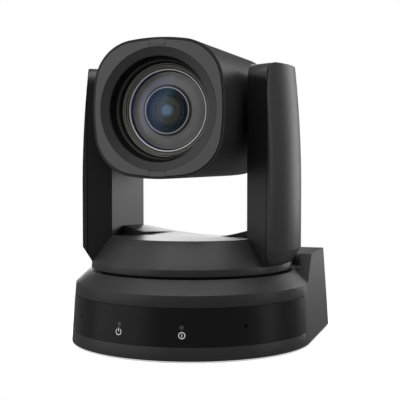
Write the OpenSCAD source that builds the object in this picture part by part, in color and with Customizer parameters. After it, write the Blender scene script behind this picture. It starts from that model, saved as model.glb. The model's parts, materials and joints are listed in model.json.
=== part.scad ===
// Pan, tilt and zoom conference camera: a round base with a square rear block,
// a yoke that turns on the base, and a camera head that tilts between its arms.
// The front faces -Y, +Z is up, the pan axis is the Z axis and the feet stand on z = 0.
// All sizes are in millimetres.

/* [Base] */
// Radius of the base wall, carried down to the ground
base_r = 71.9; // [71.5:0.1:72.5]
// Draft angle of the base wall and the rear block
base_draft = 4.2; // [3.8:0.1:4.6]
// Height of the shoulder between the wall and the cone
shoulder_z = 35.6; // [35.2:0.1:36]
// Radius of the ring at the top of the cone
ring_r = 61.3; // [61:0.1:62]
// Height of the ring at the top of the cone
ring_z = 43; // [42.6:0.1:43.4]
// Distance from the pan axis to the rear face
rear_y = 71.8; // [71:0.1:76]
// Height of the rear block
block_z = 50.8; // [49:0.1:52]
// Angle by which each side of the rear block runs inward
block_taper = 2; // [1:0.1:3]
// Radius of the well that the yoke turns in
well_r = 65.6; // [65.5:0.1:66]
// Wall thickness of the base housing
base_wall = 2.5; // [2:0.1:3]
// Height that the feet hold the base plate off the ground
foot_h = 1.2; // [1.1:0.1:1.6]

/* [Window] */
// Lowest edge of the dark front window
window_z0 = 8.6; // [8:0.1:10]
// Highest edge of the dark front window
window_z1 = 29; // [26:0.1:30]
// Half of the angle that the window spans around the front
window_half_angle = 87; // [70:1:88]
// Angle from the front to each status light
led_angle = 14.8; // [10:0.1:20]
// Angle from the front to each microphone hole
mic_angle = 43.5; // [35:0.1:50]
// Height of the status lights
led_z = 18.9; // [17:0.1:21]

/* [Yoke] */
// Radius of the turret at its lower rim
turret_r = 60.1; // [59.8:0.1:60.5]
// Height of the front deck between the arms
deck_z = 63; // [62:0.1:63.5]
// Distance from the pan axis to the inner wall of each arm
arm_x = 41.4; // [41:0.1:42]
// Half of the arm's depth at its inner wall
arm_half_y = 24.6; // [23:0.1:26]
// Distance from the pan axis to the seam between an arm and its cover
seam_x = 54.1; // [53.9:0.1:54.5]
// Half of the arm's depth at the seam
seam_half_y = 31.35; // [30.5:0.05:32]
// Radius of the outer face of the covers about the pan axis
cover_r = 65.3; // [65:0.1:65.4]
// Height of the top of the arms
arm_top = 162; // [160:0.5:166]
// Height of the tilt axis
tilt_z = 135.7; // [135.2:0.1:136.2]

/* [Head] */
// Half of the width and of the height of the head
head_half = 38.4; // [37.9:0.1:38.6]
// Radius of the head's corners
head_corner = 25; // [24:0.1:26]
// Radius of the bowed sides of the head
head_bow = 110; // [100:1:120]
// Distance from the tilt axis forward to the front bezel
bezel_front = 57; // [56.5:0.1:58]
// Distance from the tilt axis back to the end of the rear cover
head_rear = 61.5; // [60:0.1:63]
// Radius of the round opening in the bezel
bezel_opening_r = 33.7; // [33.6:0.1:33.9]
// Distance from the tilt axis down to the lens axis
lens_drop = 0.4; // [0:0.1:0.8]

/* [Drive] */
// Pitch of the toothed belts
belt_pitch = 2; // [2:0.1:2.1]
// Teeth on the pan shaft's pulley
pan_teeth = 60; // [56:1:62]
// Teeth on the pan motor's pulley
pan_motor_teeth = 16; // [14:1:18]
// Teeth on the tilt hub's pulley
tilt_teeth = 48; // [44:1:50]
// Teeth on the tilt motor's pulley
tilt_motor_teeth = 12; // [11:1:14]
// Distance from the pan axis forward to the pan motor's axis
pan_motor_y = 38; // [37:0.1:39]
// Height of the tilt motor's axis
tilt_motor_z = 88; // [86:0.1:90]

/* [Hidden] */

$fn = 96;
fine = 180;         // segments of the large round walls
big = 400;          // size of a cutting block that passes the whole object
gap = 0.2;          // gap between fixed neighbours
seam_gap = 0.4;     // width of the seam beside each arm cover
run_gap = 0.03;     // radial clearance of a shaft that turns in its bearing

// base
housing_z0 = 1;
slope_foot_y = 11.2;    // the rear block's sloping front face starts here at the shoulder
slope_top_y = 28.1;     // and ends here at its top
block_front_y = 4;
plate_z = foot_h;
plate_t = 1.5;
plate_top = plate_z + plate_t;
opening_r = 57;         // round opening in the top of the base
recess_y = 60;          // floor of the recess that holds the sockets
recess_half_x = 56;
recess_z0 = 7;
recess_z1 = 40;
board_z = 10.5;
board_t = 1.6;
board_top = board_z + board_t;
foot_places = [[-44, -38], [44, -38], [-48, 56], [48, 56]];
screw_places = [[-54, -26], [54, -26], [-58, 48], [58, 48]];
leg_xy = 32.5;
bracket_hole_r = 1.65;
bracket_dx = 60;
bracket_dy = 40;
insert_hole_r = 2.55;
window_t = 1.5;

// pan drive
frame_z = 37.5;
frame_t = 2;
bearing_z0 = 36;
bearing_z1 = 42;
pan_shaft_r = 12.5;
pan_bearing_r = 18.5;
cable_hole_r = 8;
pan_pulley_r = pan_teeth * belt_pitch / (2 * PI);
pan_motor_pulley_r = pan_motor_teeth * belt_pitch / (2 * PI);
pan_pulley_z0 = 29.2;
pan_pulley_z1 = 35.2;
pan_motor_z0 = 12.9;
pan_motor_z1 = 26.9;
pan_motor_half = 17.6;
motor_plate_t = 1.5;
motor_posts = [[-21, -28], [21, -28], [-21, -48], [21, -48]];
belt_gap = 0.15;
belt_t = 1.3;

// yoke
turret_z0 = 44.4;
band_z = 48.2;
band_r = 59.93;
turret_cone_r = 49.2;   // radius of the turret's cone at the deck
turret_top = 72;
turret_wall = 2.4;
saddle_y = -8;          // the hollowed part of the deck starts here
saddle_r = 128;
saddle_z = 61.4;
saddle_fall = 2.4;      // angle by which the hollow falls to the rear
table_z0 = 44.6;
table_z1 = 47.2;
table_r = 57;
skirt_r = 55;
arm_z0 = 48.4;
arm_wall = 2.2;
arm_corner = 10;
cover_foot_r = 60.2;
cover_foot_z = 56.5;
lean_z = 90;            // the covers lean inward above this height
lean_r = 650;
arm_slope = (seam_half_y - arm_half_y) / (seam_x - arm_x);
arm_angle = atan(arm_slope);
bracket_x = 52;
bracket_t = 1.5;
bracket_half_y = 18;
yoke_screw_places = [[-34, -12], [-34, 12], [34, -12], [34, 12]];

// tilt drive
tilt_shaft_r = 5 - run_gap;
tilt_bearing_r = 9.5;
tilt_bearing_x0 = 48.5;
tilt_bearing_x1 = 53.5;
tilt_pulley_r = tilt_teeth * belt_pitch / (2 * PI);
tilt_motor_pulley_r = tilt_motor_teeth * belt_pitch / (2 * PI);
tilt_pulley_x0 = 54;
tilt_pulley_x1 = 58.2;
tilt_motor_x0 = 43.9;
tilt_motor_r = 14;

// head
head_wall = 2.4;
shell_front = 56.2;
shell_rear = 50;
rim_t = 1.3;            // width of the shell's rim around the bezel
bezel_inset = rim_t + 0.3;
bezel_back = 53;
hub_r = 12;
hub_x0 = head_half - 3.5;
hub_x1 = 40.9;
tab_x = 4.6;
tab_z0 = 34.1;
tab_z1 = 37.4;
tab_t = 1.8;
corner_c = (head_half - head_bow
    + sqrt(2 * pow(head_bow - head_corner, 2) - pow(head_bow - head_half, 2))) / 2;

// optics: distances forward of the tilt axis, negative to the rear
lens_z = tilt_z - lens_drop;
block_half = 24;
block_in = 22;
block_front = 36;
block_rear = 24;
rod_x = 16;             // the guide rods and lead screws stand at these distances
rod_z = 12;             // from the lens axis
rod_r = 1;
zoom_y = -28;           // front of the zoom carriage at rest
focus_y = 4;            // front of the focus carriage at rest
zoom_motor_y = -2;
focus_motor_y = -13;
lens_motor_len = 11;

// ---------- shared shapes ----------

function arm_y(x) = arm_half_y + (x - arm_x) * arm_slope;
function cone_r(z) = band_r - (z - band_z) * (band_r - turret_cone_r) / (deck_z - band_z);

// A ring or disc standing on z0.
module ring(r_out, r_in, z0, z1, n = $fn) {
    difference() {
        translate([0, 0, z0]) cylinder(r = r_out, h = z1 - z0, $fn = n);
        if (r_in > 0) translate([0, 0, z0 - 1]) cylinder(r = r_in, h = z1 - z0 + 2, $fn = n);
    }
}

// A straight tube along X between two planes, at a height on the tilt axis or the motor axis.
module x_ring(r_out, r_in, x0, x1, z) {
    translate([0, 0, z]) rotate([0, 90, 0]) ring(r_out, r_in, x0, x1);
}

// Turns a profile of [radius, distance forward] about the lens axis.
module lens_turn(n = fine) {
    translate([0, 0, lens_z]) rotate([90, 0, 0]) rotate_extrude($fn = n) children();
}

// Extrudes a front view along Y, centred at a height.
module head_extrude(y0, y1, z = tilt_z) {
    translate([0, y1, z]) rotate([90, 0, 0]) linear_extrude(height = y1 - y0) children();
}

module block(x0, x1, y0, y1, z0, z1) {
    translate([x0, y0, z0]) cube([x1 - x0, y1 - y0, z1 - z0]);
}

module both_sides() {
    children();
    mirror([1, 0, 0]) children();
}

// The head's front view: a rounded square with bowed sides, set in by d.
module squircle(d = 0, bow_n = fine * 2) {
    r = head_corner - d;
    bow = head_bow - d;
    half = head_half - d;
    tx = corner_c + r * (bow - half + corner_c) / (bow - r);
    ty = corner_c + r * corner_c / (bow - r);
    union() {
        polygon([
            [tx, ty], [ty, tx], [-ty, tx], [-tx, ty],
            [-tx, -ty], [-ty, -tx], [ty, -tx], [tx, -ty]
        ]);
        for (x = [-1, 1], y = [-1, 1]) translate([x * corner_c, y * corner_c]) circle(r = r);
        for (a = [0 : 90 : 270]) rotate(a) intersection() {
            translate([half - bow, 0]) circle(r = bow, $fn = bow_n);
            translate([tx - 2, -ty]) square([10, 2 * ty]);
        }
    }
}

// ---------- base ----------

// One side plane of the rear block: everything inside it, set in by d.
module side_half_space(d) {
    translate([base_r - d, 0, 0]) rotate([0, -base_draft, block_taper])
        translate([-big, -big / 2, -big / 2]) cube(big);
}

// The outside of the base, set in by d all round and by d at the top.
module base_form(d = 0, z0 = housing_z0) {
    draft = tan(base_draft);
    union() {
        rotate_extrude($fn = fine) polygon([
            [0, z0], [base_r - z0 * draft - d, z0],
            [base_r - shoulder_z * draft - d, shoulder_z - d * 0.4],
            [ring_r - d * 0.6, ring_z - d], [0, ring_z - d]
        ]);
        intersection() {
            translate([-big / 2, 0, 0]) rotate([90, 0, 90]) linear_extrude(height = big) polygon([
                [block_front_y + d * 1.5, z0], [rear_y - d, z0], [rear_y - d, block_z - d],
                [slope_top_y + d * 0.6, block_z - d], [slope_foot_y + d * 1.2, shoulder_z - d * 0.6],
                [block_front_y + d * 1.5, shoulder_z - d * 0.6]
            ]);
            side_half_space(d);
            mirror([1, 0, 0]) side_half_space(d);
        }
    }
}

// The strip of the front wall that the window covers, from one radius to another.
module window_strip(inner, outer, z0, z1, half_angle) {
    draft = tan(base_draft);
    rotate([0, 0, -90 - half_angle]) rotate_extrude(angle = 2 * half_angle, $fn = fine) polygon([
        [base_r - z0 * draft - inner, z0], [base_r - z0 * draft + outer, z0],
        [base_r - z1 * draft + outer, z1], [base_r - z1 * draft - inner, z1]
    ]);
}

// A hole through the front wall at an angle from the front, seen from outside.
module wall_pin(angle, z, r, from_r, to_r) {
    rotate([0, 0, angle]) translate([0, -from_r, z]) rotate([90, 0, 0])
        cylinder(r = r, h = to_r - from_r, $fn = 32);
}

module base_housing() {
    color("#3b3b3d") difference() {
        base_form();
        // the inside, less the socket recess's walls, the screw posts and the well
        difference() {
            base_form(base_wall, housing_z0 - 1);
            block(-recess_half_x - 2.5, recess_half_x + 2.5, recess_y - 2, rear_y, 4, 43);
            for (p = screw_places) translate([p.x, p.y, plate_top + gap]) cylinder(r = 4, h = 60);
            translate([0, 0, ring_z - base_wall])
                cylinder(r = well_r + base_wall, h = 20, $fn = fine);
        }
        // well for the yoke, and the round opening in the top ring
        translate([0, 0, ring_z]) cylinder(r = well_r, h = 20, $fn = fine);
        translate([0, 0, ring_z - 12]) cylinder(r = opening_r, h = 20, $fn = fine);
        // socket recess
        block(-recess_half_x, recess_half_x, recess_y - 3, rear_y + 5, recess_z0, recess_z1);
        // seat of the front window
        window_strip(window_t, 1, window_z0 - gap, window_z1 + gap, window_half_angle + 0.2);
        for (a = [-led_angle, led_angle]) wall_pin(a, led_z, 1.35, 60, 75);
        for (a = [-mic_angle, mic_angle]) wall_pin(a, led_z, 0.9, 60, 75);
        // screw holes
        for (p = screw_places) translate([p.x, p.y, 0]) cylinder(r = 1.5, h = 12, $fn = 32);
    }
}

module base_plate() {
    color("#58595b") difference() {
        intersection() {
            base_form(base_wall + gap, 0);
            block(-80, 80, -80, 80, plate_z, plate_top);
        }
        translate([0, 0, -1]) cylinder(r = 7, h = 10);
        for (x = [-0.5, 0.5], y = [-0.5, 0.5])
            translate([x * bracket_dx, y * bracket_dy, -1]) cylinder(r = bracket_hole_r, h = 10, $fn = 48);
        for (p = screw_places) translate([p.x, p.y, -1]) {
            cylinder(r = 3, h = 3, $fn = 48);
            cylinder(r = 1.7, h = 10, $fn = 48);
        }
        for (x = [-30 : 6 : 30]) block(x - 1, x + 1, 44, 54, -1, 10);
    }
}

module rubber_feet() {
    color("#1d1d1e") for (p = foot_places) translate([p.x, p.y, 0]) cylinder(r = 6, h = foot_h);
}

module tripod_insert() {
    color("#b08d57") difference() {
        union() {
            translate([0, 0, 0.8]) cylinder(r = 7, h = 8.6);
            translate([0, 0, plate_top]) cylinder(r = 9, h = 1.5);
        }
        cylinder(r = insert_hole_r, h = 8.4, $fn = 64);
    }
}

module base_screws() {
    color("#8a8c8f") for (p = screw_places) translate([p.x, p.y, 0]) difference() {
        union() {
            translate([0, 0, 1.1]) cylinder(r = 2.8, h = 0.9, $fn = 48);
            translate([0, 0, 1.5]) cylinder(r = 1.45, h = 9.5, $fn = 32);
        }
        for (a = [0, 90]) rotate(a) block(-1.7, 1.7, -0.3, 0.3, 0, 1.6);
    }
}

module front_window() {
    color("#0d0d0f") difference() {
        window_strip(window_t - 0.05, 0.1, window_z0, window_z1, window_half_angle);
        for (a = [-led_angle, led_angle]) wall_pin(a, led_z, 1.35, 60, 75);
        for (a = [-mic_angle, mic_angle]) wall_pin(a, led_z, 0.9, 60, 75);
    }
}

module status_leds() {
    color("#4a5050") for (a = [-led_angle, led_angle]) {
        wall_pin(a, led_z, 1.25, 66, 70.4);
        wall_pin(a, led_z, 2, 65, 66.5);
    }
}

module rear_panel() {
    color("#26272a") difference() {
        block(-58, 58, recess_y - 3.4, recess_y - 2.2, 5, 40.4);
        block(-52, -42, 50, 65, board_top - 0.2, board_top + 11.2);
        block(-37.3, -20.7, 50, 65, board_top - 0.2, board_top + 13.8);
        block(-16.8, -3.2, 50, 65, board_top - 0.2, board_top + 6.1);
        block(1.2, 16.8, 50, 65, board_top - 0.2, board_top + 6.3);
        translate([28, 50, 22]) rotate([-90, 0, 0]) cylinder(r = 5.2, h = 15);
        translate([46, 50, 20]) rotate([-90, 0, 0]) cylinder(r = 4.9, h = 15);
    }
}

// A rectangular socket shell on the board with an open mouth at the rear.
module socket(x, w, h, y0, y1, wall, depth) {
    difference() {
        block(x - w / 2, x + w / 2, y0, y1, board_top, board_top + h);
        block(x - w / 2 + wall, x + w / 2 - wall, y1 - depth, y1 + 1, board_top + wall, board_top + h - wall);
    }
}

module power_jack() {
    color("#161617") union() {
        difference() {
            union() {
                block(-51.5, -42.5, 46, 60, board_top, board_top + 11);
                translate([-47, 59, board_top + 5.5]) rotate([-90, 0, 0]) cylinder(r = 4.4, h = 4.5);
            }
            translate([-47, 52, board_top + 5.5]) rotate([-90, 0, 0]) cylinder(r = 2.9, h = 20);
        }
        translate([-47, 51, board_top + 5.5]) rotate([-90, 0, 0]) cylinder(r = 1, h = 11.5);
    }
}

module lan_port() {
    color("#a9abae") difference() {
        socket(-29, 16, 13.4, 44, 62, 0.9, 13);
        block(-29 - 3, -29 + 3, 49, 63, board_top + 12, board_top + 12.6);
    }
}

module usb_port() {
    color("#a9abae") union() {
        socket(-10, 13.1, 5.7, 48, 62, 0.6, 11);
        block(-10 - 5.5, -10 + 5.5, 50.5, 60.5, board_top + 3, board_top + 4.4);
    }
}

module hdmi_port() {
    color("#a9abae") union() {
        socket(9, 15, 5.9, 50, 62, 0.7, 9.5);
        block(9 - 5.8, 9 + 5.8, 52, 60.8, board_top + 2.3, board_top + 3.6);
    }
}

module sdi_port() {
    color("#b9bbbe") union() {
        difference() {
            union() {
                block(21, 35, 44, 56, board_top, 29);
                translate([28, 55.5, 22]) rotate([-90, 0, 0]) cylinder(r = 4.8, h = 15);
                translate([22.3, 65, 22]) rotate([0, 90, 0]) cylinder(r = 1, h = 11.4, $fn = 32);
            }
            translate([28, 58, 22]) rotate([-90, 0, 0]) cylinder(r = 4, h = 20);
        }
        translate([28, 57, 22]) rotate([-90, 0, 0]) cylinder(r = 2.4, h = 9);
    }
}

module control_port() {
    color("#161617") difference() {
        union() {
            block(40.5, 51.5, 46, 56, board_top, 26);
            translate([46, 55.5, 20]) rotate([-90, 0, 0]) cylinder(r = 4.6, h = 6.5);
        }
        translate([46, 57, 20]) rotate([-90, 0, 0]) cylinder(r = 3.6, h = 10);
    }
}

module main_board() {
    color("#1f5c3a") union() {
        difference() {
            intersection() {
                block(-56, 56, -46, 56, board_z, board_top);
                base_form(base_wall + 1.5);
            }
            for (p = screw_places) translate([p.x, p.y, board_z - 1]) cylinder(r = 4.6, h = 5, $fn = 48);
            for (x = [-leg_xy, leg_xy], y = [-leg_xy, leg_xy])
                translate([x, y, board_z - 1]) cylinder(r = 4.6, h = 5, $fn = 48);
        }
        block(-10, 10, 14, 34, board_top - 0.1, board_top + 1.6);
        block(-46, -32, -6, 8, board_top - 0.1, board_top + 1.2);
        block(34, 48, -8, 6, board_top - 0.1, board_top + 1.2);
        block(-6, 6, -6, 4, board_top - 0.1, board_top + 2.5);
        for (y = [14 : 8 : 38]) translate([44, y, board_top - 0.1]) cylinder(r = 3, h = 6, $fn = 32);
    }
}

module pan_frame() {
    color("#8e9194") difference() {
        union() {
            ring(54, 0, frame_z, frame_z + frame_t, fine);
            ring(pan_bearing_r + 3, 0, bearing_z0 - 0.5, bearing_z1);
            for (x = [-leg_xy, leg_xy], y = [-leg_xy, leg_xy])
                translate([x, y, plate_top]) cylinder(r = 4, h = frame_z - plate_top + 0.5, $fn = 48);
            for (p = motor_posts)
                translate([p.x, p.y, pan_motor_z1])
                    cylinder(r = 2.5, h = frame_z - pan_motor_z1 + 0.5, $fn = 48);
            block(-24, 24, -52, -24, pan_motor_z1, pan_motor_z1 + motor_plate_t);
        }
        translate([0, 0, bearing_z0]) cylinder(r = pan_bearing_r, h = 20);
        translate([0, 0, bearing_z0 - 2]) cylinder(r = pan_bearing_r - 2, h = 20);
        translate([0, -pan_motor_y, 20]) cylinder(r = 8, h = 12);
        for (a = [0 : 90 : 270]) rotate([0, 0, a]) translate([36, 0, 30]) cylinder(r = 7, h = 20);
    }
}

module pan_motor() {
    color("#6d6f72") difference() {
        union() {
            intersection() {
                block(-pan_motor_half, pan_motor_half, -pan_motor_y - pan_motor_half,
                    -pan_motor_y + pan_motor_half, pan_motor_z0, pan_motor_z1);
                translate([0, -pan_motor_y, 0]) rotate([0, 0, 45])
                    block(-22, 22, -22, 22, 0, 60);
            }
            translate([0, -pan_motor_y, pan_motor_z1 - 0.1]) cylinder(r = 7.5, h = 1.4);
        }
        translate([0, -pan_motor_y, pan_motor_z0 + 1]) cylinder(r = 2.5 + run_gap, h = 30);
    }
}

module pan_bearing() {
    color("#c4c6c9") difference() {
        ring(pan_bearing_r, pan_shaft_r + run_gap, bearing_z0, bearing_z1);
        translate([0, 0, bearing_z1 - 0.4]) ring(pan_bearing_r - 1.6, pan_shaft_r + 1.6, 0, 2);
        translate([0, 0, bearing_z0 - 1.6]) ring(pan_bearing_r - 1.6, pan_shaft_r + 1.6, 0, 2);
    }
}

// The outline of a belt run round two pulleys, grown by g.
module belt_loop(r1, r2, distance, g) {
    hull() {
        circle(r = r1 + g, $fn = 72);
        translate([0, -distance]) circle(r = r2 + g, $fn = 36);
    }
}

module belt(r1, r2, distance, z0, z1) {
    translate([0, 0, z0]) linear_extrude(height = z1 - z0) difference() {
        belt_loop(r1, r2, distance, belt_gap + belt_t);
        belt_loop(r1, r2, distance, belt_gap);
    }
}

// A pulley with a flange at each end.
module pulley(r, bore, z0, z1, flange) {
    difference() {
        union() {
            translate([0, 0, z0]) cylinder(r = r, h = z1 - z0);
            translate([0, 0, z0]) cylinder(r = r + flange, h = 0.6);
            translate([0, 0, z1 - 0.6]) cylinder(r = r + flange, h = 0.6);
        }
        if (bore > 0) translate([0, 0, z0 - 1]) cylinder(r = bore, h = z1 - z0 + 2);
    }
}

module pan_belt() {
    color("#151515") belt(pan_pulley_r, pan_motor_pulley_r, pan_motor_y,
        pan_pulley_z0 + 0.9, pan_pulley_z1 - 0.9);
}

module pan_motor_pulley() {
    color("#b5b7ba") translate([0, -pan_motor_y, 0]) union() {
        pulley(pan_motor_pulley_r, 0, pan_pulley_z0, pan_pulley_z1, 1);
        translate([0, 0, pan_motor_z0 + 2]) cylinder(r = 2.5, h = pan_pulley_z1 - pan_motor_z0 - 1.5);
    }
}

// ---------- yoke ----------

// The outside of the turret, set in by d.
module turret_form(d = 0, z0 = turret_z0) {
    rotate_extrude($fn = fine) polygon([
        [0, z0], [turret_r - d, z0], [band_r - d, band_z],
        [cone_r(turret_top) - d, turret_top], [0, turret_top]
    ]);
}

// Everything above the deck, or above a surface d under it.
module deck_cut(d = 0) {
    union() {
        block(-60, 60, -80, saddle_y + d, deck_z - d, 100);
        translate([0, saddle_y, saddle_z - d + saddle_r]) rotate([-90 - saddle_fall, 0, 0])
            cylinder(r = saddle_r, h = 90, $fn = fine * 2);
    }
}

// The plan of an arm between two distances from the pan axis, set in by d.
module arm_plan(x0, x1, d = 0) {
    inset = d / cos(arm_angle);
    polygon([
        [x0, -arm_y(x0) + inset], [x1, -arm_y(x1) + inset],
        [x1, arm_y(x1) - inset], [x0, arm_y(x0) - inset]
    ]);
}

// Takes the rounding off an arm's top edge at its sloping front face.
module arm_corner_cut(d) {
    r = arm_corner - d;
    translate([arm_x, -arm_half_y + d / cos(arm_angle), 0]) rotate([0, 0, -arm_angle])
        translate([-30, 0, 0]) rotate([90, 0, 90]) linear_extrude(height = 80) difference() {
            translate([-5, arm_top - d - r]) square([r + 5, r + 5]);
            translate([r, arm_top - d - r]) circle(r = r);
        }
}

// A right arm's solid between two distances from the pan axis, set in by d.
module arm_form(x0, x1, d = 0, z0 = arm_z0) {
    difference() {
        translate([0, 0, z0]) linear_extrude(height = arm_top - d - z0) arm_plan(x0, x1, d);
        arm_corner_cut(d);
        mirror([0, 1, 0]) arm_corner_cut(d);
    }
}

// The turned outer surface of the arms, set in by d and carried down past the foot by drop.
module cover_form(d = 0, drop = 0) {
    foot_slope = (cover_r - cover_foot_r) / (cover_foot_z - arm_z0);
    foot_z = arm_z0 + d - drop;
    steps = [for (i = [0 : 12]) lean_z + i * (arm_top - lean_z) / 12];
    rotate_extrude($fn = fine) polygon(concat(
        [[0, foot_z], [cover_foot_r - d * 0.6 - drop * foot_slope, foot_z]],
        [[cover_r - d, cover_foot_z + d * 0.4]],
        [for (z = steps) [cover_r - d - pow(z - lean_z, 2) / (2 * lean_r), z - (z == arm_top ? d : 0)]],
        [[0, arm_top - d]]
    ));
}

module turret_shell() {
    color("#39393b") difference() {
        turret_form();
        difference() {
            turret_form(turret_wall, turret_z0 - 1);
            deck_cut(turret_wall);
        }
        deck_cut();
        both_sides() translate([0, 0, band_z]) linear_extrude(height = 60) arm_plan(arm_x - 0.15, 70, -0.15);
    }
}

module turntable() {
    color("#8e9194") difference() {
        union() {
            ring(table_r, 0, table_z0, table_z1, fine);
            ring(skirt_r, skirt_r - 2, 41, table_z0 + 0.5, fine);
        }
        translate([0, 0, table_z0 - 1]) cylinder(r = cable_hole_r, h = 5);
        for (p = yoke_screw_places) translate([p.x, p.y, table_z0 - 1]) cylinder(r = 1.5, h = 5, $fn = 32);
        for (a = [30 : 60 : 330]) rotate([0, 0, a]) translate([24, 0, table_z0 - 1]) cylinder(r = 4, h = 5);
    }
}

module pan_shaft() {
    color("#b5b7ba") difference() {
        union() {
            translate([0, 0, 27.5]) cylinder(r = pan_shaft_r, h = table_z0 - 27.5);
            translate([0, 0, bearing_z1 + 0.3]) cylinder(r = 18, h = table_z0 - bearing_z1 - 0.3);
        }
        translate([0, 0, 20]) cylinder(r = cable_hole_r, h = 40);
    }
}

module pan_pulley() {
    color("#b5b7ba") pulley(pan_pulley_r, pan_shaft_r, pan_pulley_z0, pan_pulley_z1, 1);
}

module signal_cable() {
    color("#202022") union() {
        translate([0, 0, 18]) cylinder(r = 3, h = 34, $fn = 48);
        block(-6, 6, -4, 4, 15, 19);
        block(-6, 6, -4, 4, 50, 54);
    }
}

// The right arm's steel bracket, with the bearing's collar.
module arm_bracket() {
    difference() {
        union() {
            x_ring(bracket_half_y, 0, bracket_x, bracket_x + bracket_t, tilt_z);
            block(bracket_x, bracket_x + bracket_t, -bracket_half_y, bracket_half_y, table_z1, tilt_z);
            x_ring(tilt_bearing_r + 2, 0, tilt_bearing_x0, bracket_x + bracket_t, tilt_z);
            block(26, bracket_x + bracket_t, -bracket_half_y, bracket_half_y, table_z1, table_z1 + 1);
        }
        x_ring(tilt_bearing_r, 0, tilt_bearing_x0 - 1, tilt_bearing_x1 + 1, tilt_z);
        x_ring(5.2, 0, bracket_x - 1, bracket_x + 3, tilt_motor_z);
        for (p = yoke_screw_places) translate([p.x, p.y, table_z1 - 1]) cylinder(r = 1.55, h = 5, $fn = 32);
        block(bracket_x - 1, bracket_x + 3, -9, 9, 58, 70);
        block(bracket_x - 1, bracket_x + 3, -9, 9, 104, 114);
    }
}

module right_arm_bracket() { color("#9a9da0") arm_bracket(); }
module left_arm_bracket() { color("#9a9da0") mirror([1, 0, 0]) arm_bracket(); }

module arm_inner() {
    difference() {
        intersection() {
            arm_form(arm_x, seam_x);
            cover_form();
        }
        intersection() {
            arm_form(arm_x + arm_wall, seam_x + 5, arm_wall, arm_z0 - 1);
            cover_form(arm_wall, arm_wall + 1);
        }
        x_ring(7, 0, arm_x - 1, arm_x + 5, tilt_z);
    }
}

module right_arm_inner() { color("#2c2c2e") arm_inner(); }
module left_arm_inner() { color("#2c2c2e") mirror([1, 0, 0]) arm_inner(); }

module arm_cover() {
    difference() {
        intersection() {
            arm_form(seam_x + seam_gap, 75);
            cover_form();
        }
        intersection() {
            arm_form(seam_x - 5, 74, arm_wall, arm_z0 - 1);
            cover_form(arm_wall);
        }
    }
}

module right_arm_cover() { color("#3b3b3d") arm_cover(); }
module left_arm_cover() { color("#3b3b3d") mirror([1, 0, 0]) arm_cover(); }

module tilt_bearings() {
    color("#c4c6c9") both_sides() difference() {
        x_ring(tilt_bearing_r, 5, tilt_bearing_x0, tilt_bearing_x1, tilt_z);
        x_ring(8.4, 6.2, tilt_bearing_x1 - 0.4, tilt_bearing_x1 + 1, tilt_z);
        x_ring(8.4, 6.2, tilt_bearing_x0 - 1, tilt_bearing_x0 + 0.4, tilt_z);
    }
}

module tilt_motor() {
    color("#6d6f72") difference() {
        union() {
            x_ring(tilt_motor_r, 0, tilt_motor_x0, bracket_x, tilt_motor_z);
            x_ring(5, 0, bracket_x - 0.1, bracket_x + 1.3, tilt_motor_z);
            for (y = [-17, 17]) translate([0, y, 0]) x_ring(3, 0, bracket_x - 0.9, bracket_x, tilt_motor_z);
            block(bracket_x - 0.9, bracket_x, -17, 17, tilt_motor_z - 3, tilt_motor_z + 3);
        }
        x_ring(1.5 + run_gap, 0, tilt_motor_x0 + 1, bracket_x + 3, tilt_motor_z);
    }
}

module tilt_belt() {
    color("#151515") translate([0, 0, tilt_z]) rotate([90, 0, 90])
        belt(tilt_pulley_r, tilt_motor_pulley_r, tilt_z - tilt_motor_z,
            tilt_pulley_x0 + 0.8, tilt_pulley_x1 - 0.8);
}

module yoke_screws() {
    color("#8a8c8f") for (p = yoke_screw_places) translate([p.x, p.y, 0]) difference() {
        union() {
            translate([0, 0, table_z0 + 0.4]) cylinder(r = 1.5, h = 4, $fn = 32);
            translate([0, 0, table_z1 + 1]) cylinder(r = 2.8, h = 1.8, $fn = 48);
        }
        translate([0, 0, table_z1 + 1.6]) cylinder(r = 1.3, h = 3, $fn = 6);
    }
}

module tilt_motor_pulley() {
    color("#b5b7ba") translate([0, 0, tilt_motor_z]) rotate([0, 90, 0]) union() {
        pulley(tilt_motor_pulley_r, 0, tilt_pulley_x0, tilt_pulley_x1, 0.9);
        translate([0, 0, tilt_motor_x0 + 2])
            cylinder(r = 1.5, h = tilt_pulley_x1 - tilt_motor_x0 - 2, $fn = 48);
    }
}

// ---------- head ----------

module head_shell() {
    color("#39393b") difference() {
        head_extrude(-shell_front, shell_rear) squircle();
        head_extrude(-shell_front - 1, shell_rear + 1) squircle(head_wall);
        head_extrude(-shell_front - 1, -bezel_back + 0.2) squircle(rim_t);
        x_ring(hub_r + 0.1, 0, -60, 60, tilt_z);
    }
}

// The closed rear of the head: the shell's outline drawn in towards its end, set in by d.
module rear_form(d, y0) {
    hull() for (i = [0 : 6]) {
        a = i * 15;
        reach = head_rear - d - shell_rear - 2;
        y = shell_rear + 2 + reach * sin(a);
        head_extrude(i == 0 ? y0 : y - 0.02, y) squircle(d + 10 * (1 - cos(a)), 160, $fn = 32);
    }
}

module head_rear_cover() {
    color("#39393b") difference() {
        rear_form(0, shell_rear + 0.1);
        rear_form(head_wall, shell_rear - 1);
    }
}

module front_bezel() {
    color("#4d4d4f") difference() {
        head_extrude(-bezel_front, -bezel_back) squircle(bezel_inset);
        translate([0, -50, lens_z]) rotate([90, 0, 0]) cylinder(r = bezel_opening_r, h = 10, $fn = fine);
        for (s = [-1, 1]) bezel_notch(s, 0.15);
    }
}

// A shallow notch in the bezel above or below the opening, grown by g.
module bezel_notch(side, g) {
    z0 = tab_z0 - g;
    z1 = tab_z1 + g;
    block(-tab_x - g, tab_x + g, -bezel_front - 1, -bezel_front + tab_t + g,
        tilt_z + (side > 0 ? z0 : -z1), tilt_z + (side > 0 ? z1 : -z0));
}

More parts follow.
